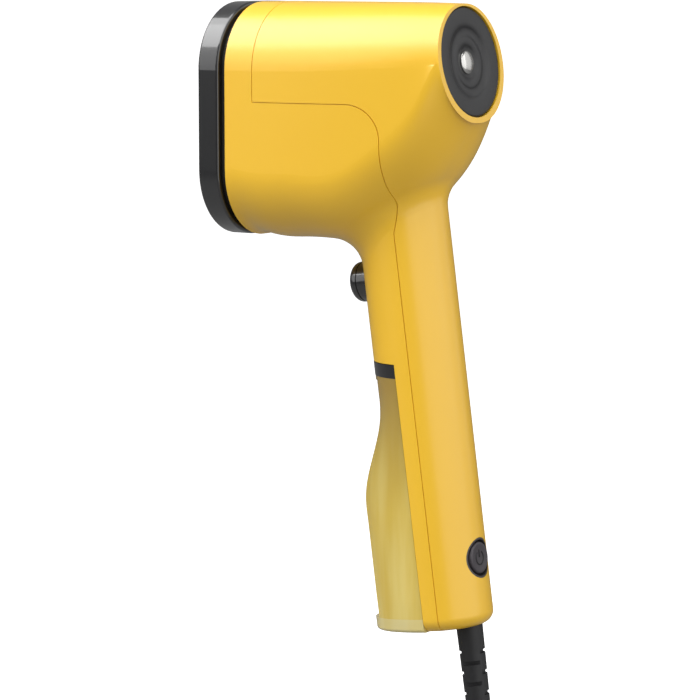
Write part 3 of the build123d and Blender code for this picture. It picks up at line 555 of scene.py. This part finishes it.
def addPlug(material):
    look = plug
    parts = [roundBlock("mains_plug_body", look["body"], look["centre"], look["rim"], 5)]
    for side in (-1, 1):
        for rib in range(look["ribs"]):
            height = (rib - (look["ribs"] - 1) / 2) * look["ribPitch"]
            place = look["centre"] + Vector((side * look["body"].x / 2, 0, height))
            parts.append(roundBlock("rib", look["ribSize"], place, look["ribSize"].x * 0.45, 3))
    steps = 10 * look["neckRibs"]
    profile = []
    for step in range(steps + 1):
        share = step / steps
        wave = look["neckRib"] * (1 - math.cos(2 * math.pi * look["neckRibs"] * share)) / 2
        profile.append((look["neckRoot"] + (look["neckTip"] - look["neckRoot"]) * share - wave,
                        share * look["neckLength"]))
    neck = turned("neck", profile, 48)
    neck.location = look["centre"] + Vector((0, 0, look["body"].z / 2))
    bpy.ops.object.transform_apply()
    parts.append(neck)
    piece = joinPieces(parts)
    settle(piece, Matrix.Identity(4), material, "casing", ("mains_plug",))
    return piece


# tie: a soft strap pulled round the hank, its tail lying over the join
tie = {
    "centre": Vector((40.5, 0, -284.0)) * mm,
    "half": Vector((10.3, 27.7)) * mm,
    "width": 12.0 * mm,
    "thick": 1.3 * mm,
    "squareness": 0.62,
    "sides": 96,
    "tail": Vector((1.2, 15.0, 11.4)) * mm,
}


def addTie(material):
    look = tie
    clearSelection()
    bpy.ops.mesh.primitive_cylinder_add(vertices=look["sides"], radius=1, depth=look["width"],
                                        end_fill_type="NOTHING")
    band = bpy.context.object
    band.name = "tie_strap"
    bpy.ops.object.mode_set(mode="EDIT")
    bpy.ops.mesh.select_all(action="SELECT")
    bpy.ops.mesh.subdivide(number_cuts=3)
    bpy.ops.object.mode_set(mode="OBJECT")
    for vertex in band.data.vertices:
        turn = math.atan2(vertex.co.y, vertex.co.x)
        across = abs(vertex.co.z) / (look["width"] / 2)
        swell = 1 - 0.025 * across ** 2
        along = [math.copysign(abs(wave) ** look["squareness"], wave)
                 for wave in (math.cos(turn), math.sin(turn))]
        vertex.co.x = look["half"].x * along[0] * swell
        vertex.co.y = look["half"].y * along[1] * swell
    wall = band.modifiers.new("wall", "SOLIDIFY")
    wall.thickness = look["thick"]
    wall.offset = 1
    bpy.ops.object.modifier_apply(modifier=wall.name)
    edge = band.modifiers.new("edge", "BEVEL")
    edge.width = 0.3 * mm
    edge.segments = 2
    edge.limit_method = "ANGLE"
    edge.angle_limit = math.radians(50)
    bpy.ops.object.modifier_apply(modifier=edge.name)
    band.location = look["centre"]
    bpy.ops.object.transform_apply()
    tailPlace = look["centre"] + Vector((-look["half"].x - look["thick"] - look["tail"].x * 0.3, 4 * mm, 0))
    tail = roundBlock("tail", look["tail"], tailPlace, 0.4 * mm, 3)
    piece = joinPieces([band, tail])
    settle(piece, Matrix.Identity(4), material, "casing", ("cord_tie",))
    return piece


addCamera()
addCord(materials["cord_jacket"], addPlug(materials["plug_black"]), addTie(materials["tie_black"]))
print("camera, cord, plug and tie placed")

# rear cap: a rounded disc, rippled and dished round a bright insert
rearCap = {
    "centre": Vector((23.1, 0, 117.4)) * mm,
    "lean": 9.0,
    "radius": 21.8 * mm,
    "skirtRadius": 19.2 * mm,
    "skirtLow": -5.8 * mm,
    "low": -3.4 * mm,
    "rim": 1.1 * mm,
    "crown": 0.25 * mm,
    "rippleRadius": 15.6 * mm,
    "dish": 1.0 * mm,
    "ripple": 0.34 * mm,
    "waves": 1.5,
    "rings": 60,
    "dishCurve": 0.9,
    "stepCurve": 0.7,
    "insertRadius": 4.7 * mm,
    "insertDome": 1.5 * mm,
}


def rippleHeight(radius):
    share = (rearCap["rippleRadius"] - radius) / (rearCap["rippleRadius"] - rearCap["insertRadius"])
    wave = math.cos(2 * math.pi * rearCap["waves"] * share) - 1
    # flat tops with quicker steps between them
    steep = math.copysign(abs(wave + 1) ** rearCap["stepCurve"], wave + 1) - 1
    return -rearCap["dish"] * share ** rearCap["dishCurve"] + rearCap["ripple"] * steep


def addRearCap():
    look = rearCap
    lean = math.radians(look["lean"])
    out = Vector((math.cos(lean), 0, math.sin(lean)))
    up = Vector((-math.sin(lean), 0, math.cos(lean)))
    place = axesMatrix(Vector((0, 1, 0)), up, out, look["centre"])
    profile = [(look["skirtRadius"], look["skirtLow"]), (look["skirtRadius"], look["low"]),
               (look["radius"], look["low"])]
    profile += roundedRim(look["radius"], 0, look["rim"], 7)
    profile.append(((look["radius"] + look["rippleRadius"]) / 2, look["crown"] * 0.4))
    for ring in range(look["rings"] + 1):
        radius = look["rippleRadius"] + (look["insertRadius"] - look["rippleRadius"]) * ring / look["rings"]
        profile.append((radius, rippleHeight(radius)))
    floorHeight = profile[-1][1]
    profile.append((look["insertRadius"], floorHeight - 0.5 * mm))
    piece = turned("rear_cap_disc", profile, 128)
    settle(piece, place, materials["dark_satin"], "casing", ("rear_cap",), 60)
    dome = [(look["insertRadius"] - 0.05 * mm, floorHeight - 1.2 * mm),
            (look["insertRadius"] - 0.05 * mm, floorHeight + 0.1 * mm)]
    for step in range(1, 12):
        turn = math.pi / 2 * step / 12
        dome.append((look["insertRadius"] * math.cos(turn),
                     floorHeight + 0.1 * mm + look["insertDome"] * math.sin(turn)))
    insert = turned("cap_insert", dome, 64)
    settle(insert, place, materials["bright_metal"], "casing", ("rear_cap_insert",), 60)


# steam trigger: a domed round cap with a line round it, on its flange and stem
trigger = {
    "height": 31.6 * mm,
    "face": 25.2 * mm,
    "radius": 8.15 * mm,
    "rim": 2.6 * mm,
    "dome": 0.5 * mm,
    "flangeRadius": 9.6 * mm,
    "flangeFront": 12.3 * mm,
    "flangeBack": 10.8 * mm,
    "stemRadius": 3.0 * mm,
    "stemBack": 8.4 * mm,
    "lineAt": 20.6 * mm,
    "lineWide": 0.5 * mm,
    "lineDeep": 0.35 * mm,
}


def addTrigger():
    look = trigger
    radius, line = look["radius"], look["lineAt"]
    profile = [(look["stemRadius"], look["stemBack"]), (look["stemRadius"], look["flangeBack"]),
               (look["flangeRadius"], look["flangeBack"]), (look["flangeRadius"], look["flangeFront"]),
               (radius, look["flangeFront"]), (radius, line), (radius - look["lineDeep"], line),
               (radius - look["lineDeep"], line + look["lineWide"]), (radius, line + look["lineWide"])]
    profile += roundedRim(radius, look["face"] - look["dome"], look["rim"], 8)
    inner = radius - look["rim"]
    for step in range(1, 8):
        share = step / 8
        profile.append((inner * (1 - share), look["face"] - look["dome"] * (1 - share) ** 2))
    piece = turned("trigger_cap", profile, 96)
    place = axesMatrix(-Vector((0, 1, 0)), handleMatrix @ Vector((0, 0, 1)),
                       handleMatrix @ Vector((-1, 0, 0)), handlePoint(0, 0, look["height"]))
    settle(piece, place, materials["black_gloss"], "trigger", ("steam_trigger",), 40)


# power button: a shallow dished cap with a ring and bar sign
powerButton = {
    "height": -82.0 * mm,
    "face": 17.9 * mm,
    "radius": 6.4 * mm,
    "rim": 0.8 * mm,
    "dish": 0.35 * mm,
    "flangeRadius": 7.2 * mm,
    "flangeLow": 12.6 * mm,
    "flangeHigh": 13.8 * mm,
    "signRadius": 2.75 * mm,
    "signLine": 0.3 * mm,
    "signGap": 36.0,
    "barLength": 3.2 * mm,
}


def addPowerButton():
    look = powerButton
    profile = [(look["flangeRadius"], look["flangeLow"]), (look["flangeRadius"], look["flangeHigh"]),
               (look["radius"], look["flangeHigh"])]
    profile += roundedRim(look["radius"], look["face"], look["rim"], 6)
    inner = look["radius"] - look["rim"]
    for step in range(1, 9):
        share = step / 9
        profile.append((inner * (1 - share), look["face"] - look["dish"] * math.sin(math.pi / 2 * share)))
    cap = turned("power_button_cap", profile, 80)
    place = axesMatrix(Vector((0, 1, 0)), handleMatrix @ Vector((0, 0, 1)), handleMatrix @ Vector((1, 0, 0)),
                       handlePoint(0, 0, look["height"]))
    settle(cap, place, materials["button_grey"], "power_button", ("power_button",), 40)

    level = look["face"] - look["dish"] * 0.75
    clearSelection()
    bpy.ops.mesh.primitive_torus_add(major_segments=72, minor_segments=10, major_radius=look["signRadius"],
                                     minor_radius=look["signLine"], location=(0, 0, level))
    ring = bpy.context.object
    ring.name = "power_sign"
    bpy.ops.object.transform_apply()
    gap = math.radians(look["signGap"])
    pickFaces(ring, lambda face: abs(math.atan2(face.center.x, face.center.y)) < gap)
    bpy.ops.mesh.delete(type="FACE")
    bpy.ops.mesh.select_all(action="SELECT")
    bpy.ops.mesh.fill_holes(sides=0)
    bpy.ops.object.mode_set(mode="OBJECT")
    line = look["signLine"] * 1.9
    bar = roundBlock("bar", (line, look["barLength"], line), (0, look["barLength"] * 0.55, level - 0.05 * mm),
                     line * 0.35, 3)
    sign = joinPieces([ring, bar])
    settle(sign, place, materials["dark_recess"], "power_button", (), 40)


addRearCap()
addTrigger()
addPowerButton()
print("cap, trigger and button modelled")


def dressNodes():
    for entry in frame["record"]["subparts"]:
        node = frame["nodes"][entry["node"]]
        slot = entry["material_slot"]
        if not node.material_slots:
            node.data.materials.append(materials[slot])
        finish = "amber_base" if entry["node"] == "tank_base" else slot
        for holder in node.material_slots:
            holder.material = materials[finish]


dressNodes()
print("finishes assigned")

# pale floor and soft studio light
studio = {
    "floorDrop": 0.012,
    "floorSize": 240.0,
    "fill": 0.24,
    "backdrop": 1.0,
    "glow": 0.72,
    "bounce": 0.24,
    "sun": 1.25,
    "sunSpread": 70.0,
    "sunFrom": (-0.55, -0.75, 0.65),
    "boxes": (
        ("top_box", (-0.62, -0.60, 1.10), (1.9, 1.4), 29.5, (-0.62, -0.60, 0)),
        ("right_box", (1.25, -0.25, 0.30), (2.2, 2.2), 19.0, (0, 0, 0.0)),
        ("rear_box", (0.9, 0.9, 0.5), (1.0, 1.4), 3.0, (0, 0, 0.0)),
    ),
}


def addWorld():
    world = bpy.context.scene.world or bpy.data.worlds.new("studio")
    bpy.context.scene.world = world
    world.use_nodes = True
    tree = world.node_tree
    fill = tree.nodes["Background"]
    fill.inputs["Color"].default_value = (1, 1, 1, 1)
    fill.inputs["Strength"].default_value = studio["fill"]
    seen = tree.nodes.new("ShaderNodeBackground")
    seen.inputs["Color"].default_value = (1, 1, 1, 1)
    seen.inputs["Strength"].default_value = studio["backdrop"]
    path = tree.nodes.new("ShaderNodeLightPath")
    mix = tree.nodes.new("ShaderNodeMixShader")
    tree.links.new(path.outputs["Is Camera Ray"], mix.inputs["Fac"])
    tree.links.new(fill.outputs["Background"], mix.inputs[1])
    tree.links.new(seen.outputs["Background"], mix.inputs[2])
    tree.links.new(mix.outputs["Shader"], tree.nodes["World Output"].inputs["Surface"])


def paperMaterial():
    # bright where it is seen, duller where it only throws light back on the object
    paper = bpy.data.materials.new("pale_paper")
    paper.use_nodes = True
    tree = paper.node_tree
    shader = tree.nodes["Principled BSDF"]
    shader.inputs["Base Color"].default_value = (0.96, 0.96, 0.96, 1)
    shader.inputs["Roughness"].default_value = 0.95
    shader.inputs["Specular IOR Level"].default_value = 0.1
    shader.inputs["Emission Color"].default_value = (1, 1, 1, 1)
    shader.inputs["Emission Strength"].default_value = studio["glow"]
    dull = tree.nodes.new("ShaderNodeBsdfDiffuse")
    dull.inputs["Color"].default_value = (*(studio["bounce"],) * 3, 1)
    path = tree.nodes.new("ShaderNodeLightPath")
    mix = tree.nodes.new("ShaderNodeMixShader")
    tree.links.new(path.outputs["Is Camera Ray"], mix.inputs["Fac"])
    tree.links.new(dull.outputs["BSDF"], mix.inputs[1])
    tree.links.new(shader.outputs["BSDF"], mix.inputs[2])
    tree.links.new(mix.outputs["Shader"], tree.nodes["Material Output"].inputs["Surface"])
    return paper


def aimLight(light, place, target):
    light.location = place
    light.rotation_mode = "QUATERNION"
    light.rotation_quaternion = (Vector(target) - Vector(place)).to_track_quat("-Z", "Y")
    bpy.context.collection.objects.link(light)


def addStudio():
    clearSelection()
    bpy.ops.mesh.primitive_plane_add(size=studio["floorSize"],
                                     location=(0, 0, cadBox[0].z - studio["floorDrop"]))
    floor = bpy.context.object
    floor.name = "floor"
    bpy.ops.object.transform_apply()
    floor.data.materials.append(paperMaterial())
    addWorld()
    sunData = bpy.data.lights.new("sun", "SUN")
    sunData.energy = studio["sun"]
    sunData.angle = math.radians(studio["sunSpread"])
    aimLight(bpy.data.objects.new("sun", sunData), studio["sunFrom"], (0, 0, 0))
    for name, place, size, power, target in studio["boxes"]:
        data = bpy.data.lights.new(name, "AREA")
        data.shape = "RECTANGLE"
        data.size, data.size_y = size
        data.energy = power
        aimLight(bpy.data.objects.new(name, data), place, target)
    bpy.context.scene.view_settings.view_transform = "Standard"


addStudio()
print("studio set")
